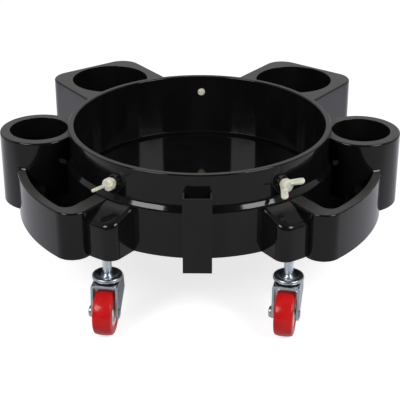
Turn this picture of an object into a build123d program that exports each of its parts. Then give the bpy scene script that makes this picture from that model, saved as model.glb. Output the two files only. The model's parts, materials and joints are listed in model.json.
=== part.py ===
from build123d import *
import os
from math import cos, radians, sin

# A bucket dolly: a moulded ring with holders and trays around it, on five swivel casters.
# Millimetres. The origin is the centre of the bucket seat, +Z is up and the front is -Y.

# Bucket well and ring
well_radius = 143.5
well_depth = 77.0
well_wall = 6.5
rim_edge = 1.5
seat_thickness = 3.5
seat_fillet = 3.0
shoulder_step = 4.0
shoulder_height = 35.0
shoulder_rise = 6.0
shoulder_round = 4.0
skirt_wall = 3.5
body_drop = 18.5

# Ribs under the seat
rib_wall = 3.0
rib_inset = 2.0
rib_count = 10
hub_rib_radius = 40.0

# Shell of the holders, trays and bosses
shell_wall = 3.0
pocket_floor = 3.5
pocket_gap = 0.7
top_edge = 2.0

# Cup holders, one on each side
cup_azimuth = 88.5
cup_bore = 33.3
cup_rim = 11.2
cup_drop = 16.0
holder_below_rim = 9.5

# Large holders at the back
holder_azimuth = 144.0
holder_bore = 47.1
holder_rim = 6.6
holder_half_width = 60.0
holder_corner = 24.0
holder_pocket_wall = 4.5

# Open trays at the front
tray_reach = 56.3
tray_height = 33.7
tray_drop = 21.5
tray_rim = 9.5
tray_flank = 9.0
tray_end_rim = 18.0
tray_corner = 21.0
tray_blend = 4.0

# Open slot at the front
slot_width = 31.0
slot_reach = 12.0
slot_wall = 2.0
slot_height = 57.0
slot_drop = 30.0
slot_floor = 2.5

# Caster bosses
caster_count = 5
boss_reach = 34.6
boss_half_width = 25.5
boss_corner = 13.7
boss_top = 33.0
boss_slope = 16.5
boss_edge = 7.0
boss_core_depth = 33.0
socket_radius = 10.0

# Caster stem and its insert
stem_reach = 13.5
stem_radius = 5.0
stem_exposed = 29.0
stem_depth = 20.0
stem_collar_radius = 7.0
stem_collar_height = 1.4
insert_radius = 7.0
insert_clearance = 0.05
socket_head_room = 1.0

# Top raceway, a pressed cup around the stem
race_radius = 15.5
race_sheet = 1.5
race_height = 3.3
race_dish = 1.6
race_dish_radius = 9.5
race_crest_radius = 12.0
race_round = 1.2
race_gap = 0.4

# Fork
fork_half_width = 14.9
fork_sheet = 2.6
fork_front = 19.0
fork_back = 13.0
fork_heel = 17.0
fork_heel_drop = 18.4
fork_nose_drop = 14.4
fork_bend = 2.2
fork_eye = 7.0
crown_ring_radius = 14.2
crown_ring_height = 2.4
swivel_clearance = 0.05
swivel_gap = 0.3
washer_radius = 10.0
washer_thickness = 1.5
stem_end_radius = 7.4
stem_end_height = 1.2

# Wheel
trail = 15.0
wheel_radius = 25.6
wheel_clearance = 5.9
tread_width = 21.0
tread_round = 3.0
core_radius = 15.8
core_rim = 3.0
core_rim_width = 20.0
core_web_width = 8.0
core_hub_radius = 7.5
hub_side_gap = 0.4

# Axle rivet and the sleeve that the wheel turns on
axle_radius = 3.0
axle_clearance = 0.05
rivet_head_radius = 6.5
rivet_head_height = 3.5
rivet_head_round = 2.4
rivet_end_radius = 4.6
rivet_end_height = 0.9
sleeve_radius = 4.6

# Wing screws that clamp the bucket
screw_below_rim = 20.8
screw_radius = 4.9
screw_clearance = 0.08
screw_recess = 0.5
screw_stand_off = 6.5
screw_boss_radius = 8.0
screw_boss_height = 3.0
screw_boss_edge = 1.0
barrel_radius = 6.9
barrel_length = 6.7
barrel_round = 1.5
wing_start = 2.1
wing_span = 12.2
wing_sweep = 11.2
wing_root = 3.5
wing_tip = 3.9
wing_thickness = 3.5
wing_round = 1.1

# Sizes that follow from those above
well_outer = well_radius + well_wall
skirt_radius = well_outer + shoulder_step
holder_top = well_depth - holder_below_rim
cup_radius = cup_bore + cup_rim
cup_distance = well_outer + pocket_gap + cup_bore
holder_distance = well_outer + pocket_gap + holder_bore
holder_face = holder_distance + holder_bore + holder_rim
tray_radius = skirt_radius + tray_reach
slot_face = skirt_radius + slot_reach
slot_opening = slot_width - 2 * slot_wall
boss_front = skirt_radius + boss_reach
stem_distance = skirt_radius + stem_reach
caster_pitch = 360 / caster_count
race_top = -body_drop - stem_exposed
race_bottom = race_top - race_height
crown_ring_top = race_bottom - race_gap
crown_top = crown_ring_top - crown_ring_height
crown_under = crown_top - fork_sheet
axle_height = crown_under - wheel_clearance - wheel_radius
fork_inner = fork_half_width - fork_sheet
washer_top = crown_ring_top - fork_sheet - swivel_gap
screw_height = well_depth - screw_below_rim
head_start = well_outer + screw_stand_off

# Azimuth of each caster, turned from the front towards +X, and the way its fork trails at rest
caster_azimuths = {
    "front_left": -caster_pitch / 2,
    "front_right": caster_pitch / 2,
    "left": -caster_pitch * 3 / 2,
    "right": caster_pitch * 3 / 2,
    "rear": 180,
}
rest_swivels = {
    "front_left": -7.5,
    "front_right": -11.0,
    "left": -9.0,
    "right": -9.0,
    "rear": -9.0,
}

# Azimuth and twist of each wing screw
wing_screws = {
    "front_left": (-caster_pitch / 2, 27.2),
    "front_right": (caster_pitch / 2, 28.3),
    "rear": (180, 0.0),
}


def plan_point(distance, azimuth):
    """Point on the seat plane, its azimuth turned from the front towards +X."""
    return Vector(distance * sin(radians(azimuth)), -distance * cos(radians(azimuth)))


def radial_plane(azimuth, height):
    """Plane whose normal points out from the well's axis, with its X along the ring and its Y up."""
    along = (cos(radians(azimuth)), sin(radians(azimuth)), 0)
    return Plane(origin=(0, 0, height), x_dir=along, z_dir=plan_point(1, azimuth))


def level(height):
    """Horizontal plane at a height above the seat."""
    return Plane.XY.offset(height)


cup_centre = plan_point(cup_distance, cup_azimuth)
holder_centre = plan_point(holder_distance, holder_azimuth)


def cup_plan(height, radius):
    """Circle about the right cup holder's centre."""
    with BuildSketch(level(height)) as plan:
        with Locations(cup_centre):
            Circle(radius)
    return plan.sketch


def holder_plan(height, inset):
    """Rounded block of the right rear holder, drawn in by an inset, running in under the ring."""
    with BuildSketch(level(height)) as plan:
        with Locations(plan_point(holder_face - inset, holder_azimuth)):
            Rectangle(
                holder_face - well_radius,
                2 * (holder_half_width - inset),
                rotation=holder_azimuth - 90,
                align=(Align.MAX, Align.CENTER),
            )
        outer = plan.vertices().sort_by_distance((0, 0))[-2:]
        fillet(outer, holder_corner - inset)
    return plan.sketch


def tray_plan(height, rim, end_rim):
    """Sector of the right tray between its end flank and the cup holder, inside the given rims."""
    end = tray_flank + end_rim
    reach = tray_radius - rim
    first = caster_pitch / 2
    with BuildSketch(level(height)) as plan:
        Circle(reach)
        with Locations(Vector(cos(radians(first)), sin(radians(first))) * end):
            Rectangle(
                2 * tray_radius,
                2 * tray_radius,
                rotation=first,
                align=(Align.MIN, Align.CENTER),
                mode=Mode.INTERSECT,
            )
        with Locations(cup_centre):
            Circle(cup_radius, mode=Mode.SUBTRACT)
            Rectangle(
                4 * tray_radius,
                2 * tray_radius,
                align=(Align.CENTER, Align.MAX),
                mode=Mode.INTERSECT,
            )
        nose = plan_point((reach**2 - end**2) ** 0.5, first)
        corner = nose + Vector(cos(radians(first)), sin(radians(first))) * end
        fillet(plan.vertices().sort_by_distance(corner)[0], tray_corner - rim)
    return plan.sketch


def boss_plan(azimuth, inset):
    """Round-cornered block of a caster boss, drawn in by an inset, running in under the ring."""
    with BuildSketch(level(-body_drop)) as plan:
        Circle(boss_front - inset)
        with Locations(plan_point(boss_front + boss_corner, azimuth)):
            Rectangle(
                boss_front + boss_corner - well_radius,
                2 * (boss_half_width - inset),
                rotation=azimuth - 90,
                align=(Align.MAX, Align.CENTER),
                mode=Mode.INTERSECT,
            )
        outer = plan.vertices().sort_by_distance((0, 0))[-2:]
        fillet(outer, boss_corner - inset)
    return plan.sketch


def finish(piece, name):
    """Name a finished piece and write it out."""
    piece.part.label = name
    export_step(piece.part, f"parts/{name}.step")


os.makedirs("parts", exist_ok=True)

# Everything inside the ring's outer skin, which the pieces around the ring are fitted to
with BuildPart() as ring_envelope:
    with BuildSketch(Plane.XZ):
        with BuildLine():
            FilletPolyline(
                (skirt_radius, 0),
                (skirt_radius, shoulder_height),
                (well_outer, shoulder_height + shoulder_rise),
                (well_outer, screw_height),
                radius=shoulder_round,
            )
            FilletPolyline(
                (well_outer, screw_height),
                (well_outer, well_depth),
                (0, well_depth),
                radius=rim_edge,
            )
            Polyline(
                (0, well_depth),
                (0, -body_drop),
                (skirt_radius, -body_drop),
                (skirt_radius, 0),
            )
        make_face()
    revolve(axis=Axis.Z)

# Ring: the well, its seat, the skirt below, the ribs under the seat and low bosses around the screws
with BuildPart() as bucket_ring:
    add(ring_envelope.part)
    with BuildSketch(level(0)):
        Circle(well_radius)
    extrude(amount=well_depth, mode=Mode.SUBTRACT)
    well_edges = bucket_ring.edges().filter_by(GeomType.CIRCLE)
    fillet(well_edges.sort_by_distance((well_radius, 0, 0))[0], seat_fillet)
    well_edges = bucket_ring.edges().filter_by(GeomType.CIRCLE)
    fillet(well_edges.sort_by_distance((well_radius, 0, well_depth))[0], rim_edge)
    with BuildSketch(level(-body_drop)):
        Circle(skirt_radius - skirt_wall)
    extrude(amount=body_drop - seat_thickness, mode=Mode.SUBTRACT)
    with BuildSketch(level(rib_inset - body_drop)):
        Circle(hub_rib_radius)
        Circle(hub_rib_radius - rib_wall, mode=Mode.SUBTRACT)
        rib_length = skirt_radius - skirt_wall / 2 - hub_rib_radius + rib_wall / 2
        with PolarLocations(skirt_radius - skirt_wall / 2 - rib_length / 2, rib_count):
            Rectangle(rib_length, rib_wall)
    extrude(amount=body_drop - seat_thickness - rib_inset)
    for side in (1, -1):
        with Locations((side * cup_centre.X, cup_centre.Y, 0)):
            Cylinder(
                cup_bore,
                holder_top,
                align=(Align.CENTER, Align.CENTER, Align.MIN),
                mode=Mode.SUBTRACT,
            )
        with Locations((side * holder_centre.X, holder_centre.Y, 0)):
            Cylinder(
                holder_bore,
                holder_top,
                align=(Align.CENTER, Align.CENTER, Align.MIN),
                mode=Mode.SUBTRACT,
            )
    for azimuth, _ in wing_screws.values():
        screw_plane = radial_plane(azimuth, screw_height)
        with BuildSketch(screw_plane.offset(well_outer - well_wall / 2)):
            Circle(screw_boss_radius)
        extrude(amount=well_wall / 2 + screw_boss_height)
        face_edges = bucket_ring.edges().filter_by(GeomType.CIRCLE)
        boss_face = screw_plane.offset(well_outer + screw_boss_height).origin
        fillet(face_edges.sort_by_distance(boss_face)[0], screw_boss_edge)
        with BuildSketch(screw_plane.offset(well_radius / 2)):
            Circle(screw_radius + screw_clearance)
        extrude(amount=well_radius, mode=Mode.SUBTRACT)
finish(bucket_ring, "bucket_ring")

# Cup holders: a double wall with a round pocket, open underneath
with BuildPart() as right_cup_holder:
    extrude(cup_plan(-cup_drop, cup_radius), amount=cup_drop + holder_top)
    fillet(right_cup_holder.edges().sort_by(Axis.Z)[-1], top_edge)
    extrude(
        cup_plan(-cup_drop, cup_radius - shell_wall),
        amount=cup_drop + holder_top - shell_wall,
        mode=Mode.SUBTRACT,
    )
    extrude(
        cup_plan(-pocket_floor, cup_bore + shell_wall),
        amount=pocket_floor + holder_top - shell_wall,
    )
    extrude(cup_plan(0, cup_bore), amount=holder_top, mode=Mode.SUBTRACT)
    add(ring_envelope.part, mode=Mode.SUBTRACT)
finish(right_cup_holder, "right_cup_holder")

with BuildPart() as left_cup_holder:
    mirror(right_cup_holder.part, about=Plane.YZ)
finish(left_cup_holder, "left_cup_holder")

# Rear holders: a rounded block with a large round pocket, open underneath
with BuildPart() as rear_right_holder:
    extrude(holder_plan(-body_drop, 0), amount=body_drop + holder_top)
    fillet(rear_right_holder.faces().sort_by(Axis.Z)[-1].edges(), top_edge)
    extrude(
        holder_plan(-body_drop, shell_wall),
        amount=body_drop + holder_top - shell_wall,
        mode=Mode.SUBTRACT,
    )
    with BuildSketch(level(-pocket_floor)):
        with Locations(holder_centre):
            Circle(holder_bore + holder_pocket_wall)
    extrude(amount=pocket_floor + holder_top - shell_wall)
    with BuildSketch(level(0)):
        with Locations(holder_centre):
            Circle(holder_bore)
    extrude(amount=holder_top, mode=Mode.SUBTRACT)
    add(ring_envelope.part, mode=Mode.SUBTRACT)
finish(rear_right_holder, "rear_right_holder")

with BuildPart() as rear_left_holder:
    mirror(rear_right_holder.part, about=Plane.YZ)
finish(rear_left_holder, "rear_left_holder")

# Block of the right tray, up to the ring's shoulder, which the boss beside it is fitted to
with BuildPart() as tray_block:
    extrude(tray_plan(-tray_drop, 0, 0), amount=tray_drop + shoulder_height)

# Sweep of the tray's rim up against the cup holder
with BuildPart() as rim_blend:
    with BuildSketch(Plane(origin=cup_centre, x_dir=(1, 0, 0), z_dir=(0, -1, 0))):
        with Locations((cup_radius, tray_height - top_edge)):
            Rectangle(tray_blend, top_edge + tray_blend, align=(Align.MIN, Align.MIN))
        with Locations((cup_radius + tray_blend, tray_height + tray_blend)):
            Circle(tray_blend, mode=Mode.SUBTRACT)
    revolve(axis=Axis(cup_centre, (0, 0, 1)))
    extrude(
        tray_plan(tray_height - top_edge, top_edge, 0),
        amount=top_edge + tray_blend,
        mode=Mode.INTERSECT,
    )

# Trays: a curved outer wall and an end wall around a pocket that the ring and the cup holder close
with BuildPart() as right_tray:
    extrude(tray_plan(-tray_drop, 0, 0), amount=tray_drop + tray_height)
    rim_edges = right_tray.faces().sort_by(Axis.Z)[-1].edges()
    cup_level = cup_centre + Vector(0, 0, tray_height)
    fillet(rim_edges.filter_by(lambda edge: (edge @ 0.5 - cup_level).length > 2 * cup_radius), top_edge)
    add(rim_blend.part)
    extrude(
        tray_plan(-tray_drop, shell_wall, shell_wall),
        amount=tray_drop + tray_height - shell_wall,
        mode=Mode.SUBTRACT,
    )
    extrude(
        tray_plan(-pocket_floor, tray_rim - shell_wall, tray_end_rim - shell_wall),
        amount=pocket_floor + tray_height - shell_wall,
    )
    extrude(
        tray_plan(0, tray_rim, tray_end_rim),
        amount=tray_height + tray_blend,
        mode=Mode.SUBTRACT,
    )
    add(ring_envelope.part, mode=Mode.SUBTRACT)
finish(right_tray, "right_tray")

with BuildPart() as left_tray:
    mirror(right_tray.part, about=Plane.YZ)
finish(left_tray, "left_tray")

# Front slot: a thin sleeve against the ring, open at the top, with its own back below the skirt
with BuildPart() as front_slot:
    with BuildSketch(level(-slot_drop)):
        with Locations((0, -slot_face)):
            Rectangle(slot_width, slot_reach + skirt_wall, align=(Align.CENTER, Align.MIN))
    extrude(amount=slot_drop - body_drop)
    with BuildSketch(level(-body_drop)):
        with Locations((0, -slot_face)):
            Rectangle(slot_width, slot_face - well_radius, align=(Align.CENTER, Align.MIN))
    extrude(amount=body_drop + slot_height)
    with BuildSketch(level(slot_floor - slot_drop)):
        with Locations((0, slot_wall - slot_face)):
            Rectangle(slot_opening, slot_reach - slot_wall, align=(Align.CENTER, Align.MIN))
    extrude(amount=slot_drop - slot_floor - body_drop, mode=Mode.SUBTRACT)
    with BuildSketch(level(-body_drop)):
        with Locations((0, slot_wall - slot_face)):
            Rectangle(slot_opening, slot_face - well_radius, align=(Align.CENTER, Align.MIN))
    extrude(amount=body_drop + slot_height, mode=Mode.SUBTRACT)
    add(ring_envelope.part, mode=Mode.SUBTRACT)
finish(front_slot, "front_slot")

# Caster bosses: round-cornered, with a sloping top, hollow below around the socket of the stem
bosses = {}
for place in ("front_right", "right", "rear"):
    azimuth = caster_azimuths[place]
    outward = plan_point(1, azimuth)
    foot = Plane(
        origin=outward * stem_distance - Vector(0, 0, body_drop),
        x_dir=outward,
        z_dir=(0, 0, 1),
    )
    slope_normal = outward * sin(radians(boss_slope)) + Vector(0, 0, cos(radians(boss_slope)))
    with BuildPart() as boss:
        extrude(boss_plan(azimuth, 0), amount=body_drop + boss_top + boss_half_width)
        top = Plane(origin=outward * skirt_radius + Vector(0, 0, boss_top), z_dir=slope_normal)
        split(bisect_by=top, keep=Keep.BOTTOM)
        fillet(boss.faces().sort_by(Axis.Z)[-1].edges(), boss_edge)
        extrude(boss_plan(azimuth, shell_wall), amount=boss_core_depth, mode=Mode.SUBTRACT)
        with BuildSketch(foot):
            Circle(socket_radius)
        extrude(amount=boss_core_depth)
        with BuildSketch(foot.offset(rib_inset)):
            Rectangle(rib_wall, 2 * boss_half_width - shell_wall)
        extrude(amount=boss_core_depth - rib_inset)
        with BuildSketch(foot):
            Circle(insert_radius + insert_clearance)
        extrude(amount=stem_depth + socket_head_room, mode=Mode.SUBTRACT)
        add(ring_envelope.part, mode=Mode.SUBTRACT)
        add(tray_block.part, mode=Mode.SUBTRACT)
        extrude(cup_plan(-body_drop, cup_radius), amount=body_drop + holder_top, mode=Mode.SUBTRACT)
    bosses[place] = boss
    finish(boss, f"caster_boss_{place}")

for right_place, left_place in (("front_right", "front_left"), ("right", "left")):
    with BuildPart() as left_boss:
        mirror(bosses[right_place].part, about=Plane.YZ)
    finish(left_boss, f"caster_boss_{left_place}")

# Inserts in the bosses and washers that hold the forks up, one of each to a caster
stem_points = [plan_point(stem_distance, azimuth) for azimuth in caster_azimuths.values()]
with BuildPart() as stem_inserts:
    with BuildSketch(level(-body_drop)):
        with Locations(*stem_points):
            Circle(insert_radius)
            Circle(stem_radius + insert_clearance, mode=Mode.SUBTRACT)
    extrude(amount=stem_depth)
finish(stem_inserts, "stem_inserts")

with BuildPart() as swivel_washers:
    with BuildSketch(level(washer_top - washer_thickness)):
        with Locations(*stem_points):
            Circle(washer_radius)
            Circle(stem_radius + insert_clearance, mode=Mode.SUBTRACT)
    extrude(amount=washer_thickness)
finish(swivel_washers, "swivel_washers")

# Casters, each fork turned its own way at rest
for place, stem_point in zip(caster_azimuths, stem_points):
    trail_dir = plan_point(1, rest_swivels[place])
    across_dir = Vector(0, 0, 1).cross(trail_dir)
    side_plane = Plane(origin=stem_point, x_dir=trail_dir, z_dir=-across_dir)
    stem_axis = Axis(stem_point, (0, 0, 1))
    axle_point = stem_point + trail_dir * trail + Vector(0, 0, axle_height)
    wheel_plane = Plane(origin=axle_point, x_dir=trail_dir, z_dir=(0, 0, 1))
    axle_plane = Plane(origin=axle_point, x_dir=trail_dir, z_dir=across_dir)
    axle_axis = Axis(axle_point, across_dir)

    # Stem, with a collar in the raceway's dish and a riveted lower end
    with BuildPart() as stem:
        end_bottom = washer_top - washer_thickness - stem_end_height
        with BuildSketch(side_plane):
            with Locations((0, end_bottom)):
                Rectangle(
                    stem_radius,
                    stem_depth - body_drop - end_bottom,
                    align=(Align.MIN, Align.MIN),
                )
                Rectangle(stem_end_radius, stem_end_height, align=(Align.MIN, Align.MIN))
            with Locations((0, race_top - race_dish)):
                Rectangle(stem_collar_radius, stem_collar_height, align=(Align.MIN, Align.MIN))
        revolve(axis=stem_axis)
    finish(stem, f"caster_stem_{place}")

    # Top raceway, pressed from sheet with a dished middle and a rounded rim
    with BuildPart() as raceway:
        with BuildSketch(side_plane):
            with BuildLine():
                dish = race_top - race_dish
                bore = stem_radius + insert_clearance
                FilletPolyline(
                    (bore, dish),
                    (race_dish_radius, dish),
                    (race_crest_radius, race_top),
                    (race_radius, race_top),
                    (race_radius, race_bottom),
                    radius=race_round,
                )
                Polyline(
                    (race_radius, race_bottom),
                    (race_radius - race_sheet, race_bottom),
                    (race_radius - race_sheet, race_top - race_sheet),
                    (race_crest_radius + race_sheet / 2, race_top - race_sheet),
                    (race_dish_radius + race_sheet / 2, dish - race_sheet),
                    (bore, dish - race_sheet),
                    (bore, dish),
                )
            make_face()
        revolve(axis=stem_axis)
    finish(raceway, f"top_raceway_{place}")

    # Fork, bent from sheet, with a raised race on its crown and two legs down to the axle
    with BuildPart() as fork:
        with BuildSketch(side_plane):
            Polygon(
                (-fork_back, crown_top),
                (fork_front, crown_top),
                (fork_front, crown_top - fork_nose_drop),
                (-fork_heel, crown_top - fork_heel_drop),
                align=None,
            )
            with Locations((trail, axle_height)):
                Circle(fork_eye)
            make_hull()
        extrude(amount=fork_half_width, both=True)
        crown_edges = fork.faces().sort_by(Axis.Z)[-1].edges()
        fillet(crown_edges.filter_by(Axis(stem_point, trail_dir)), fork_bend)
        with BuildSketch(side_plane):
            with Locations((0, crown_under)):
                Rectangle(4 * wheel_radius, 4 * wheel_radius, align=(Align.CENTER, Align.MAX))
        extrude(amount=fork_inner, both=True, mode=Mode.SUBTRACT)
        with BuildSketch(side_plane):
            with Locations((0, crown_under)):
                Rectangle(
                    crown_ring_radius,
                    crown_ring_top - crown_under,
                    align=(Align.MIN, Align.MIN),
                )
        revolve(axis=stem_axis)
        with BuildSketch(side_plane):
            with Locations((0, crown_under)):
                Rectangle(
                    crown_ring_radius - fork_sheet,
                    crown_ring_top - fork_sheet - crown_under,
                    align=(Align.MIN, Align.MIN),
                )
                Rectangle(
                    stem_radius + swivel_clearance,
                    crown_ring_top - crown_under,
                    align=(Align.MIN, Align.MIN),
                )
        revolve(axis=stem_axis, mode=Mode.SUBTRACT)
        with BuildSketch(side_plane):
            with Locations((trail, axle_height)):
                Circle(axle_radius + axle_clearance)
        extrude(amount=fork_half_width, both=True, mode=Mode.SUBTRACT)
    finish(fork, f"fork_{place}")

    # Axle rivet through both legs, with a domed head and a low spread end
    with BuildPart() as axle_rivet:
        with BuildSketch(axle_plane.offset(-fork_half_width - rivet_head_height)):
            Circle(rivet_head_radius)
        extrude(amount=rivet_head_height)
        fillet(axle_rivet.edges().sort_by(axle_axis)[0], rivet_head_round)
        with BuildSketch(axle_plane.offset(-fork_half_width)):
            Circle(axle_radius)
        extrude(amount=2 * fork_half_width)
        with BuildSketch(axle_plane.offset(fork_half_width)):
            Circle(rivet_end_radius)
        extrude(amount=rivet_end_height)
    finish(axle_rivet, f"axle_rivet_{place}")

    # Sleeve held between the legs, which keeps them apart for the wheel
    with BuildPart() as axle_sleeve:
        with BuildSketch(axle_plane):
            Circle(sleeve_radius)
            Circle(axle_radius + axle_clearance, mode=Mode.SUBTRACT)
        extrude(amount=fork_inner, both=True)
    finish(axle_sleeve, f"axle_sleeve_{place}")

    # Wheel core: hub, web and rim turned about the axle
    with BuildPart() as wheel_core:
        bore = sleeve_radius + axle_clearance
        with BuildSketch(wheel_plane):
            with Locations((bore, 0)):
                Rectangle(
                    core_hub_radius - bore,
                    2 * (fork_inner - hub_side_gap),
                    align=(Align.MIN, Align.CENTER),
                )
                Rectangle(core_radius - bore, core_web_width, align=(Align.MIN, Align.CENTER))
            with Locations((core_radius, 0)):
                Rectangle(core_rim, core_rim_width, align=(Align.MAX, Align.CENTER))
        revolve(axis=axle_axis)
    finish(wheel_core, f"wheel_core_{place}")

    with BuildPart() as tyre:
        with BuildSketch(wheel_plane):
            with Locations((core_radius, 0)):
                tread = Rectangle(
                    wheel_radius - core_radius, tread_width, align=(Align.MIN, Align.CENTER)
                )
            fillet(tread.vertices().sort_by(Axis.X)[-2:], tread_round)
        revolve(axis=axle_axis)
    finish(tyre, f"tyre_{place}")

# Wing screws through the ring wall, each a threaded shank with a winged head
for place, (azimuth, twist) in wing_screws.items():
    axis_plane = radial_plane(azimuth, screw_height)
    with BuildPart() as screw_shank:
        with BuildSketch(axis_plane.offset(well_radius + screw_recess)):
            Circle(screw_radius)
        extrude(amount=head_start - well_radius - screw_recess)
    finish(screw_shank, f"screw_shank_{place}")

    side = axis_plane.x_dir * cos(radians(twist)) + axis_plane.y_dir * sin(radians(twist))
    wing_plane = Plane(
        origin=axis_plane.origin + axis_plane.z_dir * (head_start + wing_start),
        x_dir=side,
        z_dir=side.cross(axis_plane.z_dir),
    )
    with BuildPart() as wing:
        with BuildSketch(wing_plane):
            with Locations((wing_root, 0)):
                Circle(wing_root)
            with Locations((wing_span, wing_sweep)):
                Circle(wing_tip)
            make_hull()
        extrude(amount=wing_thickness / 2, both=True)
        fillet(wing.faces().filter_by(wing_plane).edges(), wing_round)
    with BuildPart() as wing_head:
        with BuildSketch(axis_plane.offset(head_start)):
            Circle(barrel_radius)
        extrude(amount=barrel_length)
        fillet(wing_head.edges().sort_by(Axis(wing_plane.origin, axis_plane.z_dir))[-1], barrel_round)
        add(wing.part)
        mirror(wing.part, about=Plane(origin=wing_plane.origin, z_dir=side))
        split(bisect_by=axis_plane.offset(head_start), keep=Keep.TOP)
    finish(wing_head, f"wing_head_{place}")
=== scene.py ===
import json
import math
import bpy
from mathutils import Matrix, Vector


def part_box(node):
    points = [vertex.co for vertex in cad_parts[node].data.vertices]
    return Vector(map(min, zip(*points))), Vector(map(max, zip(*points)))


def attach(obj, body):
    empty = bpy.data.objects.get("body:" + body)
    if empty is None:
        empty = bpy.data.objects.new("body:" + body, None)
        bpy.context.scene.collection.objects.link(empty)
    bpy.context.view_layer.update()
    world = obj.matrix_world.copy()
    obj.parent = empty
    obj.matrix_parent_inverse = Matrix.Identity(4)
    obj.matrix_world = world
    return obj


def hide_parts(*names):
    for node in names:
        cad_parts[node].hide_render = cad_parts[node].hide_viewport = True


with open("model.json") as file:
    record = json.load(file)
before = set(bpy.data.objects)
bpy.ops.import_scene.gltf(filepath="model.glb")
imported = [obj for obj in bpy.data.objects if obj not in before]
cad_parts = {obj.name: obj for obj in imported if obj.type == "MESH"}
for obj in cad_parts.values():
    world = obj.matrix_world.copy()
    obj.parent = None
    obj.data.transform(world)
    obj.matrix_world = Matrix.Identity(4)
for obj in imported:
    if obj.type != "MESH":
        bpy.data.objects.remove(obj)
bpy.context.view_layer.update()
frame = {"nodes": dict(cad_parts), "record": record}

# The body is one deep injection moulding in glossy black polypropylene: the bucket ring with its seat, the
# cup and bottle holders, the front trays, the slot and the five caster bosses. A polished mould leaves a
# wet-looking skin with a faint orange peel and slow sink waves, and the flat rims are satin. Their upward
# faces are painted a paler grey as painted light, which stands for the lit sheen of the satin tops.


class Wire:
    """One socket of a finish. Plain arithmetic on it adds Math nodes."""

    def __init__(self, tree, socket=None):
        self.tree = tree
        self.socket = socket

    def node(self, kind, settings=None, values=None, out=0):
        """A new node with its settings and the values or wires of its sockets, and a Wire on one output."""
        made = self.tree.nodes.new(kind)
        for name, value in (settings or {}).items():
            setattr(made, name, value)
        for name, value in (values or {}).items():
            if isinstance(value, Wire):
                self.tree.links.new(value.socket, made.inputs[name])
            else:
                made.inputs[name].default_value = value
        return Wire(self.tree, made.outputs[out])

    def math(self, operation, other=0.0):
        return self.node("ShaderNodeMath", {"operation": operation}, {0: self, 1: other})

    def __add__(self, other):
        return self.math("ADD", other)

    __radd__ = __add__

    def __mul__(self, other):
        return self.math("MULTIPLY", other)

    __rmul__ = __mul__

    def part(self, axis):
        """The X, Y or Z of this vector."""
        return self.node("ShaderNodeSeparateXYZ", values={0: self}, out=axis)

    def from_axis(self):
        """How far this point lies from the upright axis of the ring."""
        across, ahead = self.part("X"), self.part("Y")
        return (across * across + ahead * ahead).math("SQRT")

    def noise(self, size, stretch=(1, 1, 1), detail=2.0):
        """Noise at this point, with lumps of a size in metres, drawn out where stretch is more than 1."""
        scale = [1 / (size * longer) for longer in stretch]
        squeezed = self.node("ShaderNodeVectorMath", {"operation": "MULTIPLY"}, {0: self, 1: scale})
        return self.node("ShaderNodeTexNoise", values={"Vector": squeezed, "Scale": 1.0, "Detail": detail})

    def span(self, low, high, bottom=0.0, top=1.0):
        """This value's range from low to high, spread smoothly from bottom to top."""
        return self.node("ShaderNodeMapRange", {"interpolation_type": "SMOOTHSTEP"},
                         {0: self, 1: low, 2: high, 3: bottom, 4: top})

    def fall(self, low, high):
        """One below low, nothing above high, and a smooth fall between them."""
        return self.span(low, high, 1.0, 0.0)

    def mix(self, first, second):
        """A colour between two, with this value as the factor."""
        return self.node("ShaderNodeMix", {"data_type": "RGBA"}, {0: self, 6: first, 7: second}, out=2)

    def shade(self, dark, light):
        """A colour between two, from the low parts of this noise to its high parts."""
        return self.span(0.3, 0.7).mix(dark, light)

    def bump(self, depth, normal):
        return self.node("ShaderNodeBump", values={"Height": self, "Distance": depth, "Normal": normal})

    def soft_edge(self, radius):
        return self.node("ShaderNodeBevel", {"samples": 6}, {"Radius": radius})


def new_finish(name, **constants):
    """A material, its shader with the constants set, and a Wire on the Object coordinates."""
    finish = bpy.data.materials.new(name)
    finish.use_nodes = True
    shader = finish.node_tree.nodes["Principled BSDF"]
    for socket, value in constants.items():
        shader.inputs[socket.replace("_", " ")].default_value = value
    place = Wire(finish.node_tree).node("ShaderNodeTexCoord", out="Object")
    return finish, shader, place


def feed(shader, **wires):
    for socket, wire in wires.items():
        wire.tree.links.new(wire.socket, shader.inputs[socket.replace("_", " ")])


def coat(finish, *names):
    """Puts a finish on every CAD node whose name starts with one of the names."""
    for node, piece in frame["nodes"].items():
        if node.startswith(names):
            for material_slot in piece.material_slots:
                material_slot.material = finish


BLACK_CLEAN, BLACK_SMEARED = (0.0050, 0.0050, 0.0056, 1), (0.0072, 0.0072, 0.0080, 1)
TRAY_RIM_PAINTED_LIGHT, UPPER_RIM_PAINTED_LIGHT = (0.046, 0.046, 0.044, 1), (0.034, 0.034, 0.032, 1)
TRAY_RIM_LEVEL, UPPER_RIM_LEVEL, LYING_FLAT = (0.028, 0.032), (0.068, 0.072), (0.80, 0.97)
SEAT_EDGE, WELL_WALL, SEAT_CORNER_TOP = (0.1395, 0.1405), (0.1436, 0.1440), (0.0028, 0.0042)
PEEL_DEPTH, SINK_DEPTH, BODY_EDGE = 0.0000022, 0.00006, 0.0007
UPRIGHT = (0, 0, 1)
gloss_black, shader, place = new_finish("gloss_black", Specular_IOR_Level=0.33)
sink_wave = place.noise(0.045, detail=1.0)
orange_peel = place.noise(0.0022, detail=1.0)
smears = place.noise(0.03, (1, 1, 2.5), 4.0)
specks = place.noise(0.0009, detail=1.0).span(0.66, 0.74)
height, radius = place.part("Z"), place.from_axis()
facing_up = place.node("ShaderNodeTexCoord", out="Normal").part("Z")
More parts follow.
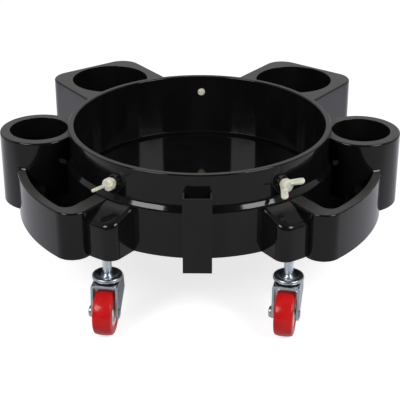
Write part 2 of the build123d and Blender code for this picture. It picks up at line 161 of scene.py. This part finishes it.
# The upward faces of the flat rims are painted a paler grey: painted light for the lit sheen of their satin
# tops.
flat_rims = facing_up.span(*LYING_FLAT) * height.span(*TRAY_RIM_LEVEL)
rim_painted_light = height.span(*UPPER_RIM_LEVEL).mix(TRAY_RIM_PAINTED_LIGHT, UPPER_RIM_PAINTED_LIGHT)
black = smears.span(0.35, 0.7).mix(BLACK_CLEAN, BLACK_SMEARED)
skin = orange_peel.bump(PEEL_DEPTH, sink_wave.bump(SINK_DEPTH, place.soft_edge(BODY_EDGE)))
seat_corner = radius.span(*SEAT_EDGE) * radius.fall(*WELL_WALL) * height.fall(*SEAT_CORNER_TOP)
skin = place.node("ShaderNodeMix", {"data_type": "VECTOR"}, {0: seat_corner, 4: skin, 5: UPRIGHT}, out=1)
feed(shader,
     Base_Color=flat_rims.mix(black, rim_painted_light),
     Roughness=0.06 + 0.05 * smears.span(0.4, 0.75) + 0.05 * specks + 0.26 * flat_rims,
     Normal=place.node("ShaderNodeVectorMath", {"operation": "NORMALIZE"}, {0: skin}))
coat(gloss_black, "bucket_ring", "left_cup", "right_cup", "rear_", "left_tray", "right_tray", "front_slot",
     "caster_boss")

# The caster stems are turned steel rods with a flared foot, and the inserts and washers hold them in the
# bosses and under the forks. Bright zinc plate over lathe marks, with the blue cast of its passivation.
STEM_ZINC = (0.66, 0.74, 0.82, 1), (0.78, 0.85, 0.91, 1)
LATHE_MARK_DEPTH, STEM_EDGE = 0.000012, 0.0003
zinc_turned, shader, place = new_finish("zinc_turned", Metallic=1.0)
lathe_marks = place.noise(0.0005, (30, 30, 1), 2.0)
clouds = place.noise(0.006, detail=3.0)
feed(shader,
     Base_Color=clouds.shade(*STEM_ZINC),
     Roughness=0.24 + 0.10 * clouds + 0.06 * lathe_marks,
     Normal=lathe_marks.bump(LATHE_MARK_DEPTH, place.soft_edge(STEM_EDGE)))
coat(zinc_turned, "caster_stem", "stem_inserts", "swivel_washers")

# The swivel cap above each fork is a cup pressed from thin steel sheet, which holds the upper race of balls.
# It is zinc plated and rolled smooth over the die, so its rim mirrors the studio in one bright band.
CAP_ZINC = (0.42, 0.45, 0.48, 1), (0.58, 0.61, 0.64, 1)
CAP_GRAIN_DEPTH, CAP_EDGE = 0.000006, 0.0004
zinc_pressed, shader, place = new_finish("zinc_pressed", Metallic=1.0)
clouds = place.noise(0.005, detail=3.0)
grain = place.noise(0.0004, detail=2.0)
feed(shader,
     Base_Color=clouds.shade(*CAP_ZINC),
     Roughness=0.27 + 0.10 * clouds + 0.04 * grain,
     Normal=grain.bump(CAP_GRAIN_DEPTH, place.soft_edge(CAP_EDGE)))

MM = 0.001
SAME_POINT = 0.000001


def draw_outline(name, first, steps, closed):
    """A line beside the Z axis, drawn from its first point step by step, out and up in millimetres."""
    bpy.ops.object.select_all(action="DESELECT")
    bpy.ops.mesh.primitive_plane_add(size=MM, location=(MM * first[0], 0, MM * first[1]))
    blank = bpy.context.object
    blank.name = name
    bpy.ops.object.transform_apply(location=True, rotation=True, scale=True)
    bpy.ops.object.mode_set(mode="EDIT")
    bpy.ops.mesh.select_mode(type="VERT")
    bpy.ops.mesh.select_all(action="SELECT")
    bpy.ops.mesh.merge(type="CENTER")
    for out, up in steps:
        bpy.ops.mesh.extrude_region_move(TRANSFORM_OT_translate={"value": (MM * out, 0, MM * up)})
    if closed:
        bpy.ops.mesh.select_all(action="SELECT")
        bpy.ops.mesh.edge_face_add()
        bpy.ops.mesh.delete(type="ONLY_FACE")
    bpy.ops.object.mode_set(mode="OBJECT")
    return blank


def turned_blank(name, first, steps, turns, finish):
    """A closed outline turned about the Z axis, with its corners rounded."""
    blank = draw_outline(name, first, steps, closed=True)
    lathe = blank.modifiers.new("lathe", "SCREW")
    lathe.axis = "Z"
    lathe.steps = lathe.render_steps = turns
    lathe.use_merge_vertices = True
    lathe.merge_threshold = SAME_POINT
    bpy.ops.object.modifier_apply(modifier="lathe")
    rounding = blank.modifiers.new("rounding", "SUBSURF")
    rounding.levels = rounding.render_levels = 2
    bpy.ops.object.modifier_apply(modifier="rounding")
    bpy.ops.object.mode_set(mode="EDIT")
    bpy.ops.mesh.select_all(action="SELECT")
    bpy.ops.mesh.remove_doubles(threshold=SAME_POINT)
    bpy.ops.mesh.normals_make_consistent(inside=False)
    bpy.ops.object.mode_set(mode="OBJECT")
    bpy.ops.object.shade_smooth()
    blank.data.materials.append(finish)
    return blank


def along(direction):
    """The turn that lays a blank's Z axis along a direction."""
    return Vector(UPRIGHT).rotation_difference(Vector(direction)).to_matrix().to_4x4()


def fit_copy(blank, where, seat, body, node):
    """A copy of a blank with its own mesh, seated on a body, where it stands for a CAD node."""
    piece = bpy.data.objects.new(blank.name + "_" + where, blank.data.copy())
    bpy.context.scene.collection.objects.link(piece)
    piece.data.transform(seat)
    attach(piece, body)
    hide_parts(node)


CAP_START, CAP_TURNS = (5.8, -2.8), 48
CAP_STEPS = ((0, 1.2), (3.5, 0), (2.5, 1.4), (2.4, 0.2), (3.0, -0.6), (0, -4.3), (-1.4, 0), (0, 3.2),
             (-2.6, 0.4), (-3.1, -1.5))
cap = turned_blank("swivel_cap", CAP_START, CAP_STEPS, CAP_TURNS, zinc_pressed)
for where in ("front_left", "front_right", "left", "right", "rear"):
    low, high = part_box("top_raceway_" + where)
    top = Matrix.Translation(((low[0] + high[0]) / 2, (low[1] + high[1]) / 2, high[2]))
    fit_copy(cap, where, top, "dolly_body", "top_raceway_" + where)
bpy.data.objects.remove(cap)

# The forks are blanked and bent from one steel sheet, with a crown, two legs and a hole for the axle. The
# zinc plate shows faint streaks down the legs from the drawing die, and the sheared edges are broken.
FORK_ZINC = (0.40, 0.44, 0.48, 1), (0.60, 0.64, 0.68, 1)
STREAK_DEPTH, FORK_EDGE = 0.000010, 0.0004
zinc_sheet, shader, place = new_finish("zinc_sheet", Metallic=1.0)
streaks = place.noise(0.0011, (1, 1, 22), 3.0)
clouds = place.noise(0.007, detail=3.0)
feed(shader,
     Base_Color=(0.5 * streaks + 0.5 * clouds).shade(*FORK_ZINC),
     Roughness=0.12 + 0.10 * streaks + 0.06 * clouds,
     Normal=streaks.bump(STREAK_DEPTH, place.soft_edge(FORK_EDGE)))
coat(zinc_sheet, "fork_")

# Each wheel turns on a steel sleeve over a rivet, whose domed head and upset end close the fork's legs.
# Plain zinc plate, a little duller than the forks from the hammering of the end.
RIVET_ZINC = (0.42, 0.45, 0.48, 1), (0.60, 0.63, 0.66, 1)
DENT_DEPTH, RIVET_EDGE = 0.00003, 0.0003
zinc_rivet, shader, place = new_finish("zinc_rivet", Metallic=1.0)
dents = place.noise(0.0013, detail=3.0)
feed(shader,
     Base_Color=dents.shade(*RIVET_ZINC),
     Roughness=0.26 + 0.14 * dents,
     Normal=dents.bump(DENT_DEPTH, place.soft_edge(RIVET_EDGE)))
coat(zinc_rivet, "axle_rivet", "axle_sleeve")

# The wheel cores are injection moulded in white nylon, hub, dished web and rim in one, and carry the tread.
# Light enters the plastic a little, and it is warmer along its flow lines.
CORE_WHITE = (0.86, 0.84, 0.77, 1), (0.92, 0.91, 0.86, 1)
CORE_GRAIN_DEPTH, CORE_EDGE = 0.00001, 0.0003
white_nylon, shader, place = new_finish("white_nylon", Subsurface_Weight=0.25, Subsurface_Scale=0.0015)
flow = place.noise(0.006, detail=3.0)
grain = place.noise(0.0006, detail=2.0)
feed(shader,
     Base_Color=flow.shade(*CORE_WHITE),
     Roughness=0.36 + 0.14 * flow,
     Normal=grain.bump(CORE_GRAIN_DEPTH, place.soft_edge(CORE_EDGE)))

WHEEL_TURNS = 64
axles = {}
for joint in frame["record"]["behaviour"]["joints"]:
    if joint["name"].startswith("roll_"):
        axles[joint["name"][len("roll_"):]] = Matrix.Translation(joint["pos_m"]) @ along(joint["axis"])

CORE_START = (4.8, -10.4)
CORE_STEPS = ((2.0, 0.0), (0.7, 0.5), (0.5, 1.7), (1.2, 0.2), (3.2, -0.2), (1.2, -0.8), (0.6, -0.5),
              (1.0, 0.0), (0.6, 0.4), (0.0, 18.2), (-0.6, 0.4), (-1.0, 0.0), (-0.6, -0.5), (-1.2, -0.8),
              (-3.2, -0.2), (-1.2, 0.2), (-0.5, 1.7), (-0.7, 0.5), (-2.0, 0.0))
core = turned_blank("dished_core", CORE_START, CORE_STEPS, WHEEL_TURNS, white_nylon)
for where, axle in axles.items():
    fit_copy(core, where, axle, "wheel_body_" + where, "wheel_core_" + where)
bpy.data.objects.remove(core)

# The tyres are red polyurethane cast round the cores, with a slightly crowned tread and rounded shoulders.
# The rubber has a smooth satin skin, a colour that clouds slowly, and a few scuffs.
TYRE_RED = (0.60, 0.010, 0.012, 1), (0.70, 0.015, 0.016, 1)
TYRE_SKIN_DEPTH, TYRE_EDGE = 0.000012, 0.0005
red_tread, shader, place = new_finish("red_tread", Specular_IOR_Level=0.25)
cloud = place.noise(0.012, detail=3.0)
skin = place.noise(0.0005, detail=2.0)
scuffs = place.noise(0.0016, (1, 1, 6), 3.0).span(0.58, 0.72)
feed(shader,
     Base_Color=cloud.shade(*TYRE_RED),
     Roughness=0.16 + 0.08 * cloud + 0.08 * scuffs,
     Normal=skin.bump(TYRE_SKIN_DEPTH, place.soft_edge(TYRE_EDGE)))

TYRE_START = (15.8, -10.5)
TYRE_STEPS = ((1.0, 0.0), (6.4, 0.0), (1.5, 1.2), (0.75, 4.3), (0.25, 5.0), (-0.25, 5.0), (-0.75, 4.3),
              (-1.5, 1.2), (-6.4, 0.0), (-1.0, 0.0))
tyre = turned_blank("crowned_tyre", TYRE_START, TYRE_STEPS, WHEEL_TURNS, red_tread)
for where, axle in axles.items():
    fit_copy(tyre, where, axle, "wheel_body_" + where, "tyre_" + where)
bpy.data.objects.remove(tyre)

# The wing screws that clamp the bucket are moulded in natural nylon, a cream plastic that light enters.
# Boss and two wings are one piece, with a few paler flow marks.
SCREW_CREAM = (0.72, 0.69, 0.55, 1), (0.84, 0.82, 0.72, 1)
SCREW_GRAIN_DEPTH, SCREW_EDGE = 0.00002, 0.0004
cream_nylon, shader, place = new_finish("cream_nylon", Subsurface_Weight=0.35, Subsurface_Scale=0.003)
flow = place.noise(0.005, detail=3.0)
grain = place.noise(0.0008, detail=2.0)
feed(shader,
     Base_Color=flow.shade(*SCREW_CREAM),
     Roughness=0.30 + 0.16 * flow,
     Normal=grain.bump(SCREW_GRAIN_DEPTH, place.soft_edge(SCREW_EDGE)))
coat(cream_nylon, "wing_head")

# Each wing screw's shank has a moulded thread of ten millimetres at a pitch of one and a half. It passes
# through the ring's wall, and its blunt tip bears on the bucket.
THREAD_CORE, THREAD_CREST, THREAD_PITCH = 4.2, 4.88, 1.5
THREAD_FLANK, THREAD_FLAT = 0.3 * THREAD_PITCH, 0.2 * THREAD_PITCH
THREAD_SEGMENTS, SPARE_THREADS, SEAM = 40, 3, 0.00001
SHANK_LENGTH, TIP_REACH, SCREW_HEIGHT = 12.5, 0.1440, 0.0562
SCREW_AZIMUTHS = {"front_left": -36, "front_right": 36, "rear": 180}
SHARP_EDGE = math.radians(35)
THREAD_STEPS = ((0, THREAD_FLAT), (THREAD_CREST - THREAD_CORE, THREAD_FLANK),
                (0, THREAD_FLAT), (THREAD_CORE - THREAD_CREST, THREAD_FLANK))
shank = draw_outline("threaded_shank", (THREAD_CORE, -THREAD_PITCH), THREAD_STEPS, closed=False)
thread = shank.modifiers.new("thread", "SCREW")
thread.axis = "Z"
thread.screw_offset = MM * THREAD_PITCH
thread.iterations = round(SHANK_LENGTH / THREAD_PITCH) + SPARE_THREADS
thread.steps = thread.render_steps = THREAD_SEGMENTS
thread.use_merge_vertices = True
bpy.ops.object.modifier_apply(modifier="thread")
bpy.ops.object.mode_set(mode="EDIT")
bpy.ops.mesh.select_all(action="SELECT")
bpy.ops.mesh.remove_doubles(threshold=SEAM)
for cut, keep_above in ((0.0, True), (MM * SHANK_LENGTH, False)):
    bpy.ops.mesh.select_all(action="SELECT")
    bpy.ops.mesh.bisect(plane_co=(0, 0, cut), plane_no=UPRIGHT, use_fill=True,
                        clear_inner=keep_above, clear_outer=not keep_above)
bpy.ops.mesh.select_all(action="SELECT")
bpy.ops.mesh.normals_make_consistent(inside=False)
bpy.ops.object.mode_set(mode="OBJECT")
bpy.ops.object.shade_smooth_by_angle(angle=SHARP_EDGE)
shank.data.materials.append(cream_nylon)
for where, azimuth in SCREW_AZIMUTHS.items():
    outward = Vector((math.sin(math.radians(azimuth)), -math.cos(math.radians(azimuth)), 0))
    tip = Matrix.Translation(TIP_REACH * outward + Vector((0, 0, SCREW_HEIGHT)))
    fit_copy(shank, where, tip @ along(outward), "screw_body_" + where, "screw_shank_" + where)
bpy.data.objects.remove(shank)

# The dolly stands on a wide pale studio floor, which the camera sees as white with the soft shadow of the
# dolly. In reflections it is near white and a little cool beside and behind the dolly, dark in front, and
# darker under the dolly, where a painted shadow of the dolly cuts its glow.
FLOOR_WIDTH, FLOOR_HEIGHT = 8.0, -0.1133
FLOOR_DARK, FLOOR_PALE = (0.03, 0.03, 0.03, 1), (0.60, 0.60, 0.61, 1)
NOTHING, WHITE, COOL_WHITE = (0, 0, 0, 1), (1, 1, 1, 1), (0.88, 0.855, 1.0, 1)
DARK_FRONT, DOLLY_FRONT, DOLLY_BACK = (-0.80, -0.58), (-0.28, -0.06), (0.10, 0.30)
SHADOW_UNDER_DOLLY, FLOOR_SIDE, FLOOR_RIM = (0.11, 0.20), (0.55, 0.80), (2.4, 3.8)
MIRRORED_SHARE = 0.75
bpy.ops.object.select_all(action="DESELECT")
bpy.ops.mesh.primitive_plane_add(size=1.0, location=(0, 0, 0))
floor = bpy.context.object
floor.name = "studio_floor"
bpy.ops.object.mode_set(mode="EDIT")
bpy.ops.transform.resize(value=(FLOOR_WIDTH, FLOOR_WIDTH, 1.0))
bpy.ops.transform.translate(value=(0, 0, FLOOR_HEIGHT))
bpy.ops.object.mode_set(mode="OBJECT")
floor_white, shader, place = new_finish("floor_white", Roughness=0.9, Specular_IOR_Level=0.1)
ahead, beside, radius = place.part("Y"), place.part("X").math("ABSOLUTE"), place.from_axis()
near = ahead.span(*DOLLY_FRONT) * beside.fall(*FLOOR_SIDE)
# Under the dolly the glow seen in reflections falls to about a third: a painted shadow of the dolly.
near = near * ahead.span(*DOLLY_BACK, 0.55, 0.90) * radius.span(*SHADOW_UNDER_DOLLY, 0.35, 1.0)
wide = radius.fall(*FLOOR_RIM) * ahead.span(*DARK_FRONT, 1.0, 0.75)
feed(shader, Base_Color=ahead.span(*DARK_FRONT).mix(FLOOR_DARK, FLOOR_PALE))
seen = place.node("ShaderNodeLightPath", out="Is Camera Ray")
mirrored = (place.node("ShaderNodeLightPath", out="Is Glossy Ray")
            + place.node("ShaderNodeLightPath", out="Is Transmission Ray"))
unlit = place.node("ShaderNodeEmission", values={"Color": NOTHING, "Strength": 0.0})
cool_glow = place.node("ShaderNodeEmission", values={"Color": COOL_WHITE, "Strength": 1.0})
white_glow = place.node("ShaderNodeEmission", values={"Color": WHITE, "Strength": 1.0})
glow = place.node("ShaderNodeMixShader", values={0: MIRRORED_SHARE * near * mirrored, 1: unlit, 2: cool_glow})
glow = place.node("ShaderNodeMixShader", values={0: wide * seen, 1: glow, 2: white_glow})
surface = place.node("ShaderNodeAddShader", values={0: Wire(place.tree, shader.outputs[0]), 1: glow})
place.tree.links.new(surface.socket, place.tree.nodes["Material Output"].inputs["Surface"])
floor.data.materials.append(floor_white)

# Two softboxes stand in front, left and right, and a pale backdrop closes the studio behind the dolly.
# The ceiling and the camera's side are darker, which leaves the black plastic black.
SOFTBOX_PLACES = {"softbox_left": (-0.917, -0.935, 0.955), "softbox_right": (1.032, -0.808, 0.955)}
SOFTBOX_WIDTH, SOFTBOX_DEPTH, SOFTBOX_POWER = 0.66, 0.62, 12.0
FRONT_TO_BACK, FRONT_LEVEL, BACK_LEVEL = (-0.60, 0.15), 0.05, 0.62
WALL_TO_CEILING, CEILING_SHARE = (0.50, 0.90), 0.35
for name, spot in SOFTBOX_PLACES.items():
    lamp = bpy.data.lights.new(name, "AREA")
    lamp.shape = "RECTANGLE"
    lamp.size, lamp.size_y = SOFTBOX_WIDTH, SOFTBOX_DEPTH
    lamp.energy = SOFTBOX_POWER
    softbox = bpy.data.objects.new(name, lamp)
    bpy.context.scene.collection.objects.link(softbox)
    softbox.location = spot
    softbox.rotation_euler = (-softbox.location).to_track_quat("-Z", "Y").to_euler()

studio = bpy.data.worlds.new("studio")
studio.use_nodes = True
bpy.context.scene.world = studio
direction = Wire(studio.node_tree).node("ShaderNodeTexCoord", out="Generated")
backdrop = direction.part("Y").span(*FRONT_TO_BACK, FRONT_LEVEL, BACK_LEVEL)
ceiling = direction.part("Z").span(*WALL_TO_CEILING, 1.0, CEILING_SHARE)
sky = studio.node_tree.nodes["Background"]
sky.inputs["Color"].default_value = WHITE
feed(sky, Strength=backdrop * ceiling)

# The camera stands in front, a little to the right, and looks down into the well with a long lens.
# Its height, its slight roll and its small shift are those of the photograph.
CAMERA_DISTANCE, CAMERA_ELEVATION, CAMERA_AZIMUTH = 1.400, math.radians(26.15), math.radians(0.95)
CAMERA_ROLL, AIM_HEIGHT = math.radians(-0.11), -0.02527
eye = bpy.data.cameras.new("camera")
eye.sensor_width = 36.0
eye.lens = 106.71
eye.shift_x, eye.shift_y = 0.0004, 0.0006
camera = bpy.data.objects.new("camera", eye)
bpy.context.scene.collection.objects.link(camera)
level_distance = CAMERA_DISTANCE * math.cos(CAMERA_ELEVATION)
camera.location = (level_distance * math.sin(CAMERA_AZIMUTH), -level_distance * math.cos(CAMERA_AZIMUTH),
                   CAMERA_DISTANCE * math.sin(CAMERA_ELEVATION) + AIM_HEIGHT)
look = Matrix.Rotation(CAMERA_AZIMUTH, 4, "Z") @ Matrix.Rotation(math.radians(90) - CAMERA_ELEVATION, 4, "X")
camera.rotation_euler = (look @ Matrix.Rotation(CAMERA_ROLL, 4, "Z")).to_euler()
bpy.context.scene.camera = camera
bpy.context.scene.view_settings.view_transform = "Standard"
